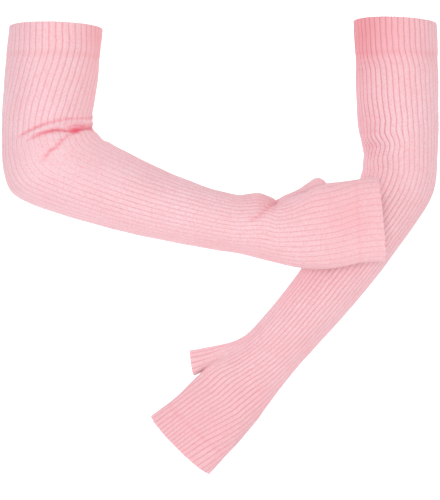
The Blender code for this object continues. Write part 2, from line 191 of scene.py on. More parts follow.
def rows_before_fork(rings, root, fork):
    """Open rows between the thumb's root and the fork, leaving and arriving along the ribs."""
    take = slice(HALF, COLUMNS - HALF + 1)
    start = rings[root][take]
    finish = np.concatenate((rings[fork], rings[fork][:1]))
    leave = start - rings[root - 1][take]
    arrive = np.concatenate((rings[fork + 1], rings[fork + 1][:1])) - finish
    reach = np.linalg.norm(finish - start, axis=1)[:, None]
    leave = leave / np.linalg.norm(leave, axis=1)[:, None] * reach
    arrive = arrive / np.linalg.norm(arrive, axis=1)[:, None] * reach
    from_side = np.minimum(np.arange(len(start)), np.arange(len(start))[::-1])
    power = 1 + FORK_DIP * np.exp(-from_side / DIP_SPREAD)
    rows = []
    for n in range(1, FORK_ROWS + 1):
        t = n / (FORK_ROWS + 1)
        row = start * (2 * t ** 3 - 3 * t ** 2 + 1) + finish * (3 * t ** 2 - 2 * t ** 3)
        row = row + leave * (t ** 3 - 2 * t ** 2 + t) + arrive * (t ** 3 - t ** 2)
        row[:, 1] = start[:, 1] + (finish[:, 1] - start[:, 1]) * t ** power
        rows.append(row)
    return rows


first = dict(zip(COLS, RIGHT_ARM[0]))
opening = section_points(first, COLUMNS, 1)
print("right opening is", round(float(np.ptp(opening[:, 0])), 1), "mm wide")

# %% [markdown]
# ## The tube as a cage
# In the editor one would add a circle, extrude it and fit each new ring to its section. The same
# two operators do it here: create_circle once, then extrude_edge_only for every section. At the
# thumb's root only the hand's side of the ring is extruded on. Its two ends are welded at the fork,
# and the hole that stays is the loop from which the thumb's branch is extruded.
# Every face keeps two numbers in its UV map: how many columns around it is, and how many
# millimetres along. They follow the knitting, so the ribs and stitches will too.

# %% The cage
PIECES = ("upper_welt", "sleeve", "hand_welt", "thumb_welt")


def add_object(name, data):
    """A new object in the scene."""
    thing = bpy.data.objects.new(name, data)
    bpy.context.scene.collection.objects.link(thing)
    return thing


def applied(thing):
    """The mesh that an object's modifiers make. The object itself is removed."""
    done = thing.evaluated_get(bpy.context.evaluated_depsgraph_get())
    mesh = bpy.data.meshes.new_from_object(done)
    bpy.data.objects.remove(thing)
    return mesh


def open_mesh(mesh):
    """A bmesh of a mesh, ready to be edited."""
    bm = bmesh.new()
    bm.from_mesh(mesh)
    bm.verts.ensure_lookup_table()
    return bm


def close_mesh(bm, mesh):
    """Writes a bmesh to a mesh."""
    bm.to_mesh(mesh)
    bm.free()


class Cage:
    """A coarse tube that grows ring by ring."""

    def __init__(self, points):
        self.bm = bmesh.new()
        self.uv = self.bm.loops.layers.uv.new("knit")
        start = bmesh.ops.create_circle(self.bm, segments=len(points), radius=1)["verts"]
        self.place(start, points)
        self.row = start

    def place(self, verts, points):
        """Moves a row of vertices to its section."""
        for vert, point in zip(verts, points):
            vert.co = Vector(point) * MM

    def grow(self, row, points, columns, along, piece, round_it=True):
        """Extrudes a row to its next section and writes the knitting's numbers on the new faces."""
        pairs = list(zip(row, row[1:] + row[:1])) if round_it else list(zip(row, row[1:]))
        edges = [self.bm.edges.get(pair) for pair in pairs]
        made = bmesh.ops.extrude_edge_only(self.bm, edges=edges)["geom"]
        fresh = {item for item in made if isinstance(item, bmesh.types.BMVert)}
        following = [next(e.other_vert(v) for e in v.link_edges if e.other_vert(v) in fresh) for v in row]
        self.place(following, points)
        for k in range(len(pairs)):
            a, b = pairs[k]
            n = following[k]
            face = next(f for f in n.link_faces if a in f.verts and b in f.verts)
            face.material_index = PIECES.index(piece)
            for loop in face.loops:
                left = loop.vert in (a, n)
                before = loop.vert in (a, b)
                loop[self.uv].uv = (columns[k] + (0 if left else 1), along[0] if before else along[1])
        return following


print("a cage starts as a circle of", COLUMNS, "vertices")

# %% [markdown]
# ## Growing one warmer
# The distance along the tube is measured between the middles of the rings, so the stitches keep
# their height where the arm bends. On the left hand the taut cloth draws the fork forward.

# %% Grow a warmer


def warmer_cage(side, table, thumb, flip):
    """The whole outer face of one arm warmer as a coarse mesh."""
    rows = [dict(zip(COLS, line)) for line in table]
    names = [row["name"] for row in rows]
    root, fork, band = names.index("root"), names.index("fork"), names.index("band")
    hand_columns = COLUMNS - 2 * HALF
    rings = [section_points(r, COLUMNS if k <= root else hand_columns, flip) for k, r in enumerate(rows)]
    from_fork = np.minimum(np.arange(hand_columns), hand_columns - np.arange(hand_columns))
    for k, part in ((fork, (1, 1, 1)), (fork + 1, NEXT_PULL)):
        front = rings[k][:, 1].min()
        pull = np.array(FORK_PULL[side]) * np.array(part)
        rings[k] += np.exp(-(from_fork / FORK_SPREAD) ** 2)[:, None] * pull
        rings[k][:, 1] = np.maximum(rings[k][:, 1], front)
    middles = [ring.mean(axis=0) for ring in rings]
    apart = [np.linalg.norm(b - a) for a, b in zip(middles, middles[1:])]
    along = np.concatenate(([0], np.cumsum(apart)))

    cage = Cage(rings[0])
    row = cage.row
    for k in range(1, root + 1):
        piece = "upper_welt" if k <= names.index("welt end") else "sleeve"
        row = cage.grow(row, rings[k], list(range(COLUMNS)), (along[k - 1], along[k]), piece)
    root_row = row

    hand_side = root_row[HALF:COLUMNS - HALF + 1]
    columns = list(range(HALF, COLUMNS - HALF))
    between = rows_before_fork(rings, root, fork)
    steps = np.linspace(along[root], along[fork], FORK_ROWS + 2)
    sides = []
    row = hand_side
    for n, points in enumerate(between):
        row = cage.grow(row, points, columns, (steps[n], steps[n + 1]), "sleeve", False)
        sides.append((row[0], row[-1]))
    closing = np.concatenate((rings[fork], rings[fork][:1]))
    row = cage.grow(row, closing, columns, (steps[-2], steps[-1]), "sleeve", False)
    bmesh.ops.weld_verts(cage.bm, targetmap={row[-1]: row[0]})
    fork_vert = row[0]
    row = row[:-1]
    for k in range(fork + 1, len(rings)):
        piece = "sleeve" if k <= band else "hand_welt"
        row = cage.grow(row, rings[k], columns, (along[k - 1], along[k]), piece)

    rim = [s[0] for s in sides] + [fork_vert] + [s[1] for s in reversed(sides)]
    web = [tuple(v.co / MM) for v in [root_row[HALF]] + rim + [root_row[COLUMNS - HALF]]]
    loop = root_row[:HALF + 1] + rim + root_row[COLUMNS - HALF:]
    base = np.array([tuple(v.co / MM) for v in loop])
    edge = thumb_points(thumb, len(loop), -THUMB_WELT)
    where = along[root]
    columns = [THUMB_NUMBERS + k for k in range(len(loop))]
    reach = float(np.linalg.norm(edge[0] - base[0]))
    row = loop
    last = 0
    for share in THUMB_RINGS[side]:
        points = base + (edge - base) * share
        row = cage.grow(row, points, columns, (where + reach * last, where + reach * share), "sleeve")
        last = share
    ends = (where + reach, where + reach + THUMB_WELT)
    cage.grow(row, thumb_points(thumb, len(loop)), columns, ends, "thumb_welt")

    bmesh.ops.recalc_face_normals(cage.bm, faces=cage.bm.faces)
    cage.bm.faces.ensure_lookup_table()
    test = cage.bm.faces[0]
    if test.normal.dot(test.calc_center_median() - Vector(middles[0]) * MM) < 0:
        bmesh.ops.reverse_faces(cage.bm, faces=cage.bm.faces)
    seams = {"upper": along[names.index("welt end")], "root": along[root], "fork": along[fork],
             "hand": along[band], "end": along[-1]}
    return cage.bm, seams, np.array(web)


cages = {}
seams = {}
webs = {}
for side, table, thumb, flip in (("right", RIGHT_ARM, RIGHT_THUMB, 1), ("left", LEFT_ARM, LEFT_THUMB, -1)):
    cages[side], seams[side], webs[side] = warmer_cage(side, table, thumb, flip)
    print(side, "cage:", len(cages[side].faces), "faces,", round(seams[side]["end"]), "mm from end to end")

# %% [markdown]
# ## From cage to smooth cloth
# A Subdivision Surface modifier rounds the cage. Two levels give eight points across each rib, just
# enough to model the ribs themselves instead of faking them with bump. UV smoothing is off, so the
# column numbers stay evenly spaced.
# Between thumb and hand the worn cloth is stretched into a web. The points near that fold are
# smoothed in rounds, each reaching further from it. The thumb's open edge stays where it is.

# %% Smooth the cage
WEB_REACH = 11.0          # mm around the fold between thumb and hand that are pulled smooth
WEB_ROUNDS = (.62, .5, .38, .25, .12)   # a round takes the points that are held more than this
WEB_STEPS = 9             # smoothing steps in a round


def ease(value, start, end):
    """0 before start, 1 after end, and a smooth rise between them."""
    t = np.clip((value - start) / (end - start), 0, 1)
    return t * t * (3 - 2 * t)


def distance_to_line(points, line, steps=6):
    """The distance of many points from a line through a few points."""
    dense = np.concatenate([a + (b - a) * np.linspace(0, 1, steps)[:, None] for a, b in zip(line, line[1:])])
    return np.min([np.linalg.norm(points - point, axis=1) for point in dense], axis=0)


def read(owner, name, size=1, kind=float, what="vertices"):
    """Copies one property of every vertex, corner, face or attribute value into a table."""
    data = getattr(owner, what)
    table = np.empty(len(data) * size, kind)
    data.foreach_get(name, table)
    return table.reshape(-1, size) if size > 1 else table


def store(mesh, name, values):
    """Keeps one number for every point under a name."""
    mesh.attributes.new(name, "FLOAT", "POINT").data.foreach_set("value", values)


def stored(mesh, name):
    """The numbers kept under a name."""
    return read(mesh.attributes[name], "value", what="data")


def stretch_web(mesh, web):
    """Pulls the web between thumb and hand taut, as stretched cloth is."""
    away = distance_to_line(read(mesh, "co", 3) / MM, web)
    hold = np.clip(1 - away / WEB_REACH, 0, 1)
    store(mesh, "web", hold)
    bm = open_mesh(mesh)
    axes = {"use_axis_" + axis: True for axis in "xyz"}
    for least in WEB_ROUNDS:
        chosen = [bm.verts[i] for i in np.nonzero(hold > least)[0] if not bm.verts[i].is_boundary]
        for _ in range(WEB_STEPS):
            bmesh.ops.smooth_vert(bm, verts=chosen, factor=.5, **axes)
    close_mesh(bm, mesh)
    print(mesh.name, "web pulled smooth on", int((hold > 0).sum()), "points")


def smooth_mesh(name, bm):
    """The cage subdivided twice, as a mesh of its own."""
    rough = bpy.data.meshes.new(name + "_cage")
    for _ in PIECES:
        rough.materials.append(None)
    close_mesh(bm, rough)
    thing = add_object(name + "_cage", rough)
    smooth = thing.modifiers.new("round", "SUBSURF")
    smooth.levels = 2
    smooth.render_levels = 2
    smooth.uv_smooth = "NONE"
    fine = applied(thing)
    stretch_web(fine, webs[name])
    return fine


skins = {side: smooth_mesh(side, bm) for side, bm in cages.items()}
for side, skin in skins.items():
    print(side, "skin:", len(skin.vertices), "points")

# %% [markdown]
# ## Where the cloth creases
# Worn knitting creases where the arm bends and where the sleeve is pushed up the wrist. Each crease
# is a soft trough along a short path, with a lip on its upper side, uneven in length, depth and
# spacing. They are placed one by one, the ones on the back too, which follow the same bends.
# Two more tables hold soft oval spots. The first is painted shade: a deeper rose where the cloth
# faces the other arm or lies in shadow. PULLED is where the ribs are pulled flat, and a negative
# amount there makes them stand higher.
# The red colour laid in a crease's trough is painted shade.

# %% Creases, in millimetres
FRONT, BACK = -1, 1


def crease(width, depth, path, lip=0, painted_shade=0, start=.4, peak=.4, calm=0, side=FRONT):
    """One crease along a path of x, z points seen from the front.

    A negative depth makes a puff. The lip stands out beside the trough, and the red laid in the
    trough is painted shade. The crease starts at a share of its strength and is strongest at the
    peak's share of its path. Calm is how much it flattens the ribs on its lip.
    """
    return dict(width=width, depth=depth, path=path, lip=lip, painted_shade=painted_shade,
                start=start, peak=peak, calm=calm, side=side)


CREASES = {
    "right": (
        crease(1.5, 1.4, lip=.3, painted_shade=.6, start=.6, peak=.66, path=(
            (40, -92.4), (19, -94.6), (0, -98.9), (-10, -102.3), (-19, -106.1), (-27, -110),
            (-34, -116))),
        crease(1.5, 2.6, lip=.9, painted_shade=.75, start=.9, peak=.6, calm=.9, path=(
            (46, -97.8), (38, -99.6), (30, -103.6), (24, -106.6), (16, -106.2), (8, -106), (0, -107.4),
            (-10, -110.4), (-19, -114.3), (-28, -119))),
        crease(1.4, 1.6, painted_shade=.6, start=.6, path=(
            (42, -100), (34, -100.4), (26, -100.7), (17, -103.4), (12, -105))),
        crease(2.6, 1.6, painted_shade=1, start=.5, peak=.5, path=(
            (40, -100.6), (33, -102.4), (27, -104.2), (20, -105.6), (14, -106))),
        crease(4.2, 2.6, start=1, peak=.6, path=((40, -101), (45, -104.5), (50, -109), (55, -114))),
        crease(1.8, 1.5, lip=.5, painted_shade=.6, start=.6, peak=.6, path=(
            (26.4, -107), (17.8, -111.4), (12, -116.2), (7.2, -121.9), (.4, -126.8), (-4.4, -133.5),
            (-8.5, -139.5))),
        crease(8, -1.3, start=1, peak=.6, path=((192, -166), (199, -169), (205, -174))),
        crease(3.4, 2.4, painted_shade=.1, start=1, path=((219, -169), (217, -175), (213, -181))),
        crease(1.6, 2.6, lip=1, painted_shade=.3, start=.8, peak=.6, path=(
            (219, -173), (208.6, -182.2), (203.8, -186.9), (197.2, -191.7), (189, -196))),
        crease(2.2, .9, lip=.2, painted_shade=.06, path=((185, -170), (178.3, -174.4), (170, -178))),
        crease(1.9, 1.7, lip=.6, painted_shade=.5, side=BACK, path=(
            (38, -93), (22, -97), (5, -103), (-12, -109), (-25, -118))),
        crease(1.9, 2.4, lip=.8, painted_shade=.7, side=BACK, path=(
            (44, -102), (30, -107), (14, -114), (-4, -119), (-16, -127))),
        crease(2.2, 1.1, lip=.3, painted_shade=.3, side=BACK, path=((34, -112), (20, -122), (9, -133), (2, -147))),
        crease(2.4, 1.5, lip=.5, painted_shade=.15, side=BACK, path=(
            (216, -175), (205, -184), (198, -195), (193, -204))),
    ),
    "left": (
        crease(2.6, .7, lip=.3, painted_shade=.05, path=((300, -103), (309, -106), (322, -104.5))),
        crease(2.2, .9, lip=.4, painted_shade=.14, path=((301, -115), (311, -119.5), (327, -118))),
        crease(2.6, .7, lip=.3, painted_shade=.05, path=((304, -127), (313, -130.5), (331, -126.5))),
        crease(2.8, .5, lip=.2, painted_shade=.05, path=((306, -141), (318, -142), (334, -135))),
        crease(2.4, 1.3, lip=.4, painted_shade=.15, side=BACK, path=((302, -110), (314, -114), (333, -111))),
        crease(2.5, 1.6, lip=.5, painted_shade=.2, side=BACK, path=(
            (305, -124), (318, -127), (340, -121), (352, -122))),
        crease(2.6, 1, lip=.3, painted_shade=.1, side=BACK, path=((305, -142), (322, -146), (340, -142))),
        crease(2.6, .9, lip=.3, painted_shade=.1, side=BACK, path=((192, -305), (202, -314), (208, -326))),
    ),
}
# x, z, half width, half height and how much
# Painted shade: spots of deeper rose where the cloth faces the other arm or lies in shadow.
PAINTED_SHADE_SPOTS = {
    "right": ((50, -12, 16, 34, .7), (0, -12, 60, 15, .16), (46, -75, 13, 30, .25), (284, -190, 46, 50, .34),
              (208, -177, 9, 8, .4)),
    "left": ((290, -4, 36, 40, 1.1), (293, -85, 17, 50, .35), (345, -5, 34, 34, .3), (150, -385, 80, 70, .3)),
}
PULLED = {
    "right": ((-4, -130, 34, 28, .8), (42, -142, 34, 26, .45), (203, -172, 20, 14, -.7)),
    "left": ((298, -15, 16, 60, -.8), (306, -110, 22, 30, -.5), (357, -137, 26, 34, .4),
             (378, -50, 22, 70, .35)),
}
print("creases:", {side: len(rows) for side, rows in CREASES.items()})

# %% How far a crease pushes the cloth
CREASE_ROOM = 12          # mm around its path that a crease can reach
WRAP = .45                # how far it runs on around the edge of the arm
LIP_AT = 2.1              # widths from the trough to the top of its lip
CALM_AT = 3.4             # mm from the trough to the middle of the calmed ribs
CALM_WIDE = 2.6


def spots(place, table):
    """A few soft oval spots added up at every point."""
    total = np.zeros(len(place))
    for x, z, wide, high, amount in table:
        apart = ((place[:, 0] - x) / wide) ** 2 + ((place[:, 2] - z) / high) ** 2
        total += amount * np.exp(-apart)
    return total


def soft_path(points, steps=14):
    """A smooth line through a few points, with more points along it."""
    at = np.array(points, float)
    padded = np.concatenate((2 * at[:1] - at[1:2], at, 2 * at[-1:] - at[-2:-1]))
    line = []
    for k in range(1, len(padded) - 2):
        a, b, c, d = padded[k - 1:k + 3]
        for t in np.arange(steps) / steps:
            line.append(.5 * (2 * b + (c - a) * t + (2 * a - 5 * b + 4 * c - d) * t * t
                              + (3 * b - 3 * c + d - a) * t ** 3))
    line.append(at[-1])
    return np.array(line)


def crease_push(place, outward, creases):
    """How far the creases push each point out, how much red painted shade they lay on it and how much they
    calm its rib.
    """
    push = np.zeros(len(place))
    shade = np.zeros(len(place))
    calm = np.zeros(len(place))
    flat = place[:, (0, 2)]
    for fold in creases:
        line = soft_path(fold["path"])
        low = line.min(axis=0) - CREASE_ROOM
        high = line.max(axis=0) + CREASE_ROOM
        near = np.all((flat > low) & (flat < high), axis=1)
        near &= outward[:, 1] * fold["side"] > -WRAP
        ids = np.nonzero(near)[0]
        if not len(ids):
            continue
        gap = flat[ids][:, None, :] - line[None, :, :]
        apart = np.linalg.norm(gap, axis=2)
        best = apart.argmin(axis=1)
        distance = apart[np.arange(len(ids)), best]
        ahead = np.gradient(line, axis=0)[best]
        offset = flat[ids] - line[best]
        above = np.sign(ahead[:, 0] * offset[:, 1] - ahead[:, 1] * offset[:, 0])
        above = above * np.sign(line[-1, 0] - line[0, 0])
        share = best / (len(line) - 1)
        start, peak = fold["start"], fold["peak"]
        rise = start + (1 - start) * ease(share, 0, peak)
        fade = rise * (1 - ease(share, peak + .1, 1.0)) ** .7
        turn = np.clip((outward[ids, 1] * fold["side"] + WRAP) / .5, 0, 1)
        strength = fade * turn
        width = fold["width"]
        trough = np.exp(-(distance / width) ** 2)
        lip = np.exp(-((distance - LIP_AT * width) / width) ** 2) * (above > 0)
        push[ids] += strength * (fold["lip"] * lip - fold["depth"] * trough)
        shade[ids] = np.maximum(shade[ids], strength * trough ** 1.6 * fold["painted_shade"])
        ridge = np.exp(-((distance - CALM_AT) / CALM_WIDE) ** 2) * (above > 0) * fold["calm"]
        calm[ids] = np.maximum(calm[ids], strength * ridge)
    return push, shade, calm


longest = max((soft_path(row["path"]) for row in CREASES["right"]), key=len)
print("the longest crease has", len(longest), "points along it")

# %% [markdown]
# ## Ribs
# A rib stands round and wide, with a narrow sunk groove beside it. The height is a function of the
# column number that the UV map carries: even numbers are ribs, odd ones grooves. Moving the numbers
# sideways moves the ribs. They fan out around the thumb's root and close up again on the hand, slant
# on the right upper arm, jog at the left welt, turn around the left hand, and wander where the
# knitting is slack at the elbows.

# %% Rib heights
FAN_WRIST = .16           # how far the fan opens before the thumb's root
FAN_HAND = .14            # how far it is closed too far at the fork
FAN_BEFORE = 60           # mm of wrist over which it opens
FAN_AFTER = 45            # mm of hand over which it settles
HAND_TWIST = .09          # columns that the ribs turn around the left hand for each mm along it
TWIST_FROM = 378          # mm along the left tube where they start to turn
TWIST_EASE = 30           # mm over which the turn sets in
SLANT = 3.2               # columns that the ribs slant across the right upper arm


def rib_groove(column):
    """1 in the middle of a groove and 0 on a rib."""
    from_groove = np.abs((column % 2) - 1)
    return .75 * np.exp(-(from_groove / .33) ** 2) + .25 * (1 - from_groove) ** 2


def fan_out(column, along, side):
    """Spreads the ribs' fan at the root of the thumb over the wrist and the hand, in columns."""
    root, fork = seams[side]["root"], seams[side]["fork"]
    amount = FAN_WRIST * ease(along, root - FAN_BEFORE, root)
    amount = amount - (FAN_WRIST + FAN_HAND) * ease(along, root, fork)
    amount = amount + FAN_HAND * ease(along, fork, fork + FAN_AFTER)
    from_outer = column - COLUMNS / 2
    reach = COLUMNS / 2 - HALF
    return -from_outer * amount * np.clip(1 - (from_outer / reach) ** 2, 0, 1)


def wander_right(x, z):
    """The right ribs slant below the welt and are a little uneven outside the elbow."""
    slack = np.exp(-((z + 125) / 26) ** 2) * np.clip((30 - x) / 50, 0, 1)
    straight = .8 * ease(z, -29, 2)
    slant = SLANT * np.clip(-(z + 29) / 66, 0, 1)
    return straight + slant + slack * .12 * np.sin((z - x) / 5.1)


def wander_left(x, z, along):
    """The left ribs jog at the welt, wave at the elbow's crook and turn around the hand."""
    slack = np.exp(-((z + 121) / 21) ** 2) * np.clip((364 - x) / 50, 0, 1)
    jog = -1.3 * ease(z, -46, -24) + .8 * ease(-z, 50, 110)
    down = (x - 160) * .71 - (z + 370) * .71
    past = np.clip(along - TWIST_FROM, 0, 200)
    past = np.where(past < TWIST_EASE, past ** 2 / (2 * TWIST_EASE), past - TWIST_EASE / 2)
    twist = HAND_TWIST * past * (.3 + .7 * ease(down, -30, 20))
    return jog - twist + slack * 1.1 * np.sin((-113 - z + .12 * (x - 320)) / 4.6)


def rib_wander(place, along, side):
    """How far the ribs wander sideways, in columns."""
    x, z = place[:, 0], place[:, 2]
    calm = .05 * np.sin(z / 5.3 + x / 13) + .04 * np.sin(z / 3.1 - x / 9)
    return calm + (wander_left(x, z, along) if side == "left" else wander_right(x, z))


def gentle_lumps(place):
    """Low, slow unevenness of worn cloth, in millimetres."""
    x, y, z = place.T
    lumps = np.sin(x / 11 + 1.7 * np.sin(z / 17)) * np.sin(z / 13 + y / 19)
    return .22 * lumps + .14 * np.sin(x / 6.1 - z / 7.3 + y / 9)


depths = rib_groove(np.linspace(0, 1, 5))
print("groove depth from a rib to its groove:", depths.round(2).tolist())

# %% [markdown]
# ## Shaping the skin
# The plain skin is pushed into its creases and lumps along its normals with numpy, which is far
# quicker than a loop. How far the ribs will lift it and how deep its colour is, from its seams and
# from painted shade, are only stored on it, as attributes. The cloth has to get its thickness
# first, so that its inner face stays plain.

# %% Shape the skin
RIB = .95                 # mm from the top of a full rib to the bottom of its groove
FULL = {"right": .65, "left": .85}   # how much of that the worn ribs keep
FADE_HAND = {"right": .3, "left": .05}   # how much of it is lost towards the fingers
HAND_FADE = 55            # mm of sleeve over which that is lost
FADE_ARM = {"right": .25, "left": .1}   # how much is lost past the elbow
ARM_FADE = (110, 190)     # mm along the tube between which that is lost
WEB_CALM = .75            # how much is lost on the stretched web
PROUD = {"upper": .3, "hand": .12, "thumb": .24}   # mm that the doubled bands stand out
BAND_EDGE = 3             # mm over which they do so
SEAM_DEPTH = .22          # mm that the cloth is drawn in at a band's seam
SEAM_WIDTH = .9
HAND_SEAM = .7            # the hand's seam is this much of the upper one
SEAM_DEEP = .25           # how much deeper the colour is at a seam
SCALLOP = .26             # mm that the loops of the open ends stand out


def per_point(mesh, corner, values):
    """The mean of the corners' values at every point."""
    total = np.bincount(corner, weights=values, minlength=len(mesh.vertices))
    return total / np.maximum(np.bincount(corner, minlength=len(mesh.vertices)), 1)


def scallop_ends(mesh, column):
    """Waves the open ends with the ribs, for the small loops of the cast-off edge."""
    bm = open_mesh(mesh)
    moves = []
    for vert in bm.verts:
        if vert.is_boundary:
            inner = next(e.other_vert(vert) for e in vert.link_edges if not e.is_boundary)
            turn = column[vert.index] * math.pi
            reach = SCALLOP * (math.cos(2 * turn) + .4 * math.cos(turn))
            moves.append((vert, (vert.co - inner.co).normalized() * reach * MM))
    for vert, move in moves:
        vert.co += move
    close_mesh(bm, mesh)


def shape_skin(mesh, side):
    """Pushes the plain skin into its creases and lumps, and stores the ribs' numbers on it."""
    place = read(mesh, "co", 3) / MM
    outward = read(mesh, "vector", 3, what="vertex_normals")
    push, shade, calm = crease_push(place, outward, CREASES[side])
    corner = read(mesh, "vertex_index", kind=int, what="loops")
    corners = read(mesh, "loop_total", kind=int, what="polygons")
    on_thumb_band = read(mesh, "material_index", kind=int, what="polygons") == PIECES.index("thumb_welt")
    thumb_band = per_point(mesh, corner, np.repeat(on_thumb_band, corners))
    uv = read(mesh.uv_layers["knit"], "uv", 2, what="data")
    uv[:, 0] += fan_out(uv[:, 0], uv[:, 1], side) + rib_wander(place[corner], uv[:, 1], side)
    mesh.uv_layers["knit"].data.foreach_set("uv", uv.ravel())
    along = per_point(mesh, corner, uv[:, 1])
    groove = per_point(mesh, corner, rib_groove(uv[:, 0]))

    upper, hand = seams[side]["upper"], seams[side]["hand"]
    height = FULL[side] * (1 - FADE_HAND[side] * ease(along, hand - HAND_FADE, hand))
    height = height * (1 - FADE_ARM[side] * ease(along, *ARM_FADE))
    height = height * (1 - WEB_CALM * stored(mesh, "web")) * (1 - calm) * (1 - spots(place, PULLED[side]))
    seam = np.exp(-((along - upper) / SEAM_WIDTH) ** 2)
    seam = seam + HAND_SEAM * np.exp(-((along - hand) / SEAM_WIDTH) ** 2)
    lift = PROUD["upper"] * ease(upper - along, 0, BAND_EDGE)
    lift = lift + PROUD["hand"] * ease(along - hand, 0, BAND_EDGE)
    lift = lift + PROUD["thumb"] * thumb_band - SEAM_DEPTH * seam - RIB * height * groove

    moved = place + outward * (push + gentle_lumps(place))[:, None]
    mesh.vertices.foreach_set("co", (moved * MM).ravel())
    mesh.update()
    scallop_ends(mesh, per_point(mesh, corner, np.round(uv[:, 0] * 4) / 4))
    # The "fold" mark is the red painted shade in the creases.
    store(mesh, "fold", shade)
    # The "deep" mark is a dark seam line plus the painted shade of the spots.
    store(mesh, "deep", np.clip(SEAM_DEEP * seam + spots(place, PAINTED_SHADE_SPOTS[side]), 0, 1))
    store(mesh, "ribbed", height)
    store(mesh, "lift", lift)
    normal = mesh.attributes.new("outward", "FLOAT_VECTOR", "POINT")
    normal.data.foreach_set("vector", read(mesh, "vector", 3, what="vertex_normals").ravel())


for side, skin in skins.items():
    shape_skin(skin, side)
    print(side, "skin shaped")

# %% [markdown]
# ## Four pieces from one skin
# The skin is parted into the four pieces along their seams. Because all of them come from one
# surface, the ribs run on from piece to piece. A Solidify modifier gives each piece its wall. The
# turned bands are double and thicker, and a vertex group thins the stretched web beside the thumb.
# Then the stored lift raises the ribs and bands on the outer face.

# %% Make the pieces
WALLS = {"upper_welt": 2.2, "sleeve": 1.7, "hand_welt": 2.0, "thumb_welt": 1.6}   # RIB_HEIGHT is added
WEB_THIN = .93            # part of the wall that the fold of the web loses
INSIDE = {"deep": .45, "ribbed": 0}   # the colour and the ribs of the inner face; its deeper rose is painted shade inside the tube


def part_of(skin, index):
    """A copy of the skin with the faces of one piece only."""
    bm = open_mesh(skin)
    gone = [face for face in bm.faces if face.material_index != index]
    bmesh.ops.delete(bm, geom=gone, context="FACES")
    mesh = bpy.data.meshes.new(PIECES[index])
    close_mesh(bm, mesh)
    return mesh


def thicken(mesh, wall):
    """The same piece with its wall, as a closed mesh. The outer points come first."""
    thing = add_object("thicken", mesh)
    web = stored(mesh, "web")
    full = thing.vertex_groups.new(name="full wall")
    full.add(range(len(web)), 1, "REPLACE")
    for index in np.nonzero(web > 0)[0].tolist():
        full.add([index], 1 - WEB_THIN * float(web[index]), "REPLACE")
    solid = thing.modifiers.new("wall", "SOLIDIFY")
    solid.vertex_group = full.name
    solid.thickness = wall * MM
    solid.offset = -1
    solid.use_even_offset = False
    return applied(thing)


def soft_rims(mesh, outer):
    """Shades the cut ends on their own, so that they don't darken the cloth beside them."""
    bm = open_mesh(mesh)
    for face in bm.faces:
        count = sum(vert.index < outer for vert in face.verts)
        face.tag = 0 < count < len(face.verts)
    for edge in bm.edges:
        kinds = {face.tag for face in edge.link_faces}
        edge.smooth = len(kinds) == 1
    close_mesh(bm, mesh)


def rib_piece(side, index, skin):
    """One finished piece: parted, thickened and ribbed."""
    name = PIECES[index]
    mesh = part_of(skin, index)
    outer = len(mesh.vertices)
    mesh = thicken(mesh, WALLS[name] + RIB_HEIGHT)
    outward = read(mesh.attributes["outward"], "vector", 3, what="data")
    lift = stored(mesh, "lift")
    lift[outer:] = 0
    mesh.vertices.foreach_set("co", (read(mesh, "co", 3) + outward * lift[:, None] * MM).ravel())
    # The inner face gets painted shade, a deeper rose, and no ribs.
    for label, inside in INSIDE.items():
        values = stored(mesh, label)
        values[outer:] = inside
        mesh.attributes[label].data.foreach_set("value", values)
    mesh.update()
    mesh.materials.clear()
    mesh.polygons.foreach_set("material_index", np.zeros(len(mesh.polygons), int))
    mesh.polygons.foreach_set("use_smooth", np.ones(len(mesh.polygons), bool))
    soft_rims(mesh, outer)
    title = side + "_" + name + "_knit"
    mesh.name = title
    return add_object(title, mesh)


pieces = {}
for side, skin in skins.items():
    for index, name in enumerate(PIECES):
        piece = rib_piece(side, index, skin)
        pieces[side + "_" + name] = piece
        print(piece.name, sum(len(p.vertices) - 2 for p in piece.data.polygons), "triangles")
    bpy.data.meshes.remove(skin)

# %% [markdown]
# ## Yarn
# The yarn is soft and matt, like a mix of acrylic and wool. Its colour is a light warm rose on the
# ribs and a deeper one in the grooves, where less light gets in. The stitches are small slanted
# loops in two columns on each rib. A node group makes them from the UV map, because every piece
# uses them. The group also draws the painted shade in the groove between two ribs: a narrow line,
# dotted by the gaps between the loops, over a broad faint one.

# %% Stitch group
LOOP_SIDES = 3.0          # how steeply a loop falls off at its sides
LOOP_ROUND = .6           # how full it is from its lower to its upper end
LINE_NARROW = .2          # half the width of the painted groove shade between two ribs, in columns
LINE_BROAD = .22          # how strong the faint line around it is
DOT_BASE, DOT_GAP = .55, .6   # how strong the narrow line is on a loop, and what a gap adds


def math_node(tree, kind, a, b=None):
    """A Math node with its inputs linked or set."""
    node = tree.nodes.new("ShaderNodeMath")
    node.operation = kind
    for socket, value in zip(node.inputs, (a, b)):
        if value is None:
            continue
        if isinstance(value, (int, float)):
            socket.default_value = value
        else:
            tree.links.new(value, socket)
    return node.outputs[0]


def times(tree, a, b):
    """One value times another."""
    return math_node(tree, "MULTIPLY", a, b)


def plus(tree, a, b):
    """One value and another."""
    return math_node(tree, "ADD", a, b)


def minus(tree, a, b):
    """One value less another."""
    return math_node(tree, "SUBTRACT", a, b)


